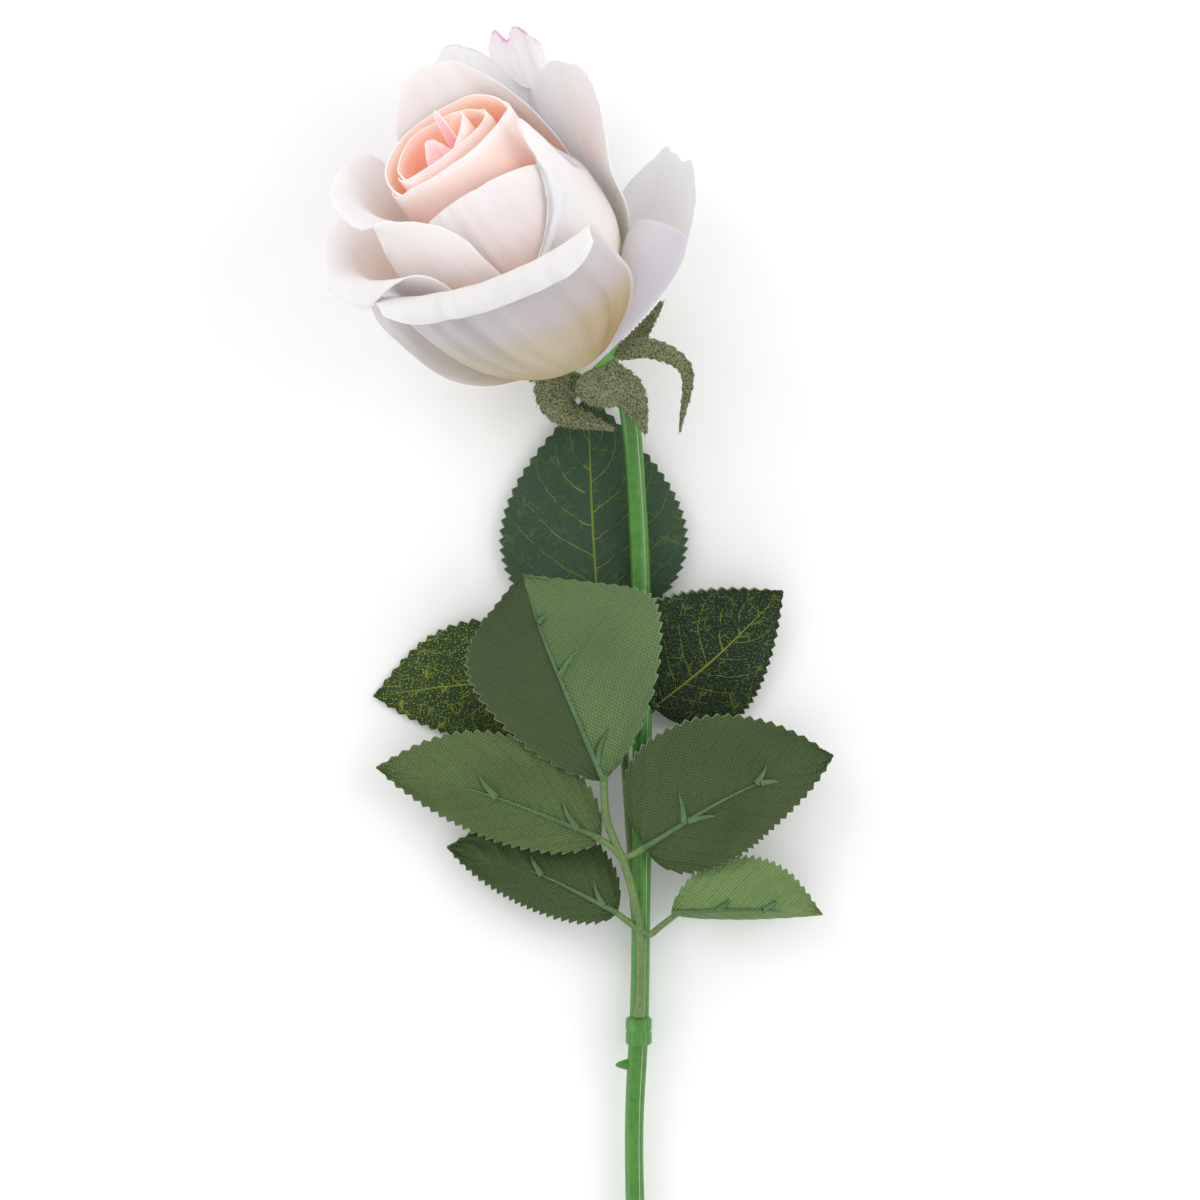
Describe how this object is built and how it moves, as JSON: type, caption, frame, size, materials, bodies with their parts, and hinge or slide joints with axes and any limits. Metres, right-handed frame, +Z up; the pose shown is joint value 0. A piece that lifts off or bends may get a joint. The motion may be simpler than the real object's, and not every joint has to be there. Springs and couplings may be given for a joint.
{
  "type": "artificial cut rose",
  "caption": "Long-stemmed cloth rose lying down: a half-open head of overlapping petals, curled sepals, two toothed leaf sprays and a moulded stem with a wire core.",
  "frame": {"origin": "middle of the bounding box's bottom face, on the surface that the rose lies on", "axes": "+Y from the cut end of the stem towards the flower; +Z up from the surface that it lies on; +X to the right seen from above with the flower at the top"},
  "size_m": [0.128, 0.3994, 0.077],
  "materials": {
    "white_petal": "dyed woven cloth, near matt",
    "blush_petal": "dyed woven cloth shading to peach, near matt",
    "peach_petal": "dyed woven cloth, near matt",
    "pink_petal": "dyed woven cloth, near matt",
    "sepal_cloth": "flocked olive cloth with a frayed edge",
    "leaf_underside": "woven cloth, pale olive green, matt",
    "leaf_upper_face": "printed woven cloth, dark green with yellow-green veins",
    "calyx_plastic": "moulded polythene, satin",
    "stem_plastic": "moulded polythene with a seam line, satin to glossy",
    "stalk_plastic": "moulded polythene, satin",
    "wire": "drawn wire, bare at the cut end"
  },
  "bodies": {
    "root": {"back_petal": "white_petal", "calyx": "calyx_plastic", "core_petal_back": "pink_petal", "core_petal_front": "pink_petal", "front_leaflet_end": "leaf_underside", "front_leaflet_lower_left": "leaf_underside", "front_leaflet_lower_right": "leaf_underside", "front_leaflet_upper_left": "leaf_underside", "front_leaflet_upper_right": "leaf_underside", "front_petal": "blush_petal", "front_stalk": "stalk_plastic", "guard_petal_back": "white_petal", "guard_petal_front": "white_petal", "guard_petal_left": "white_petal", "guard_petal_low": "white_petal", "guard_petal_right": "white_petal", "guard_petal_roll": "white_petal", "inner_back_petal": "blush_petal", "inner_ring_back": "peach_petal", "inner_ring_front": "peach_petal", "left_front_petal": "blush_petal", "left_petal": "blush_petal", "outer_ring_back": "peach_petal", "outer_ring_front": "peach_petal", "rear_leaflet_end": "leaf_upper_face", "rear_leaflet_left": "leaf_upper_face", "rear_leaflet_right": "leaf_upper_face", "rear_stalk": "stalk_plastic", "right_back_petal": "white_petal", "right_petal": "blush_petal", "sepal_front": "sepal_cloth", "sepal_left": "sepal_cloth", "sepal_right": "sepal_cloth", "sepal_under_left": "sepal_cloth", "sepal_under_right": "sepal_cloth", "stem": "stem_plastic", "stem_wire": "wire", "twisted_petal": "white_petal"}
  },
  "joints": []
}
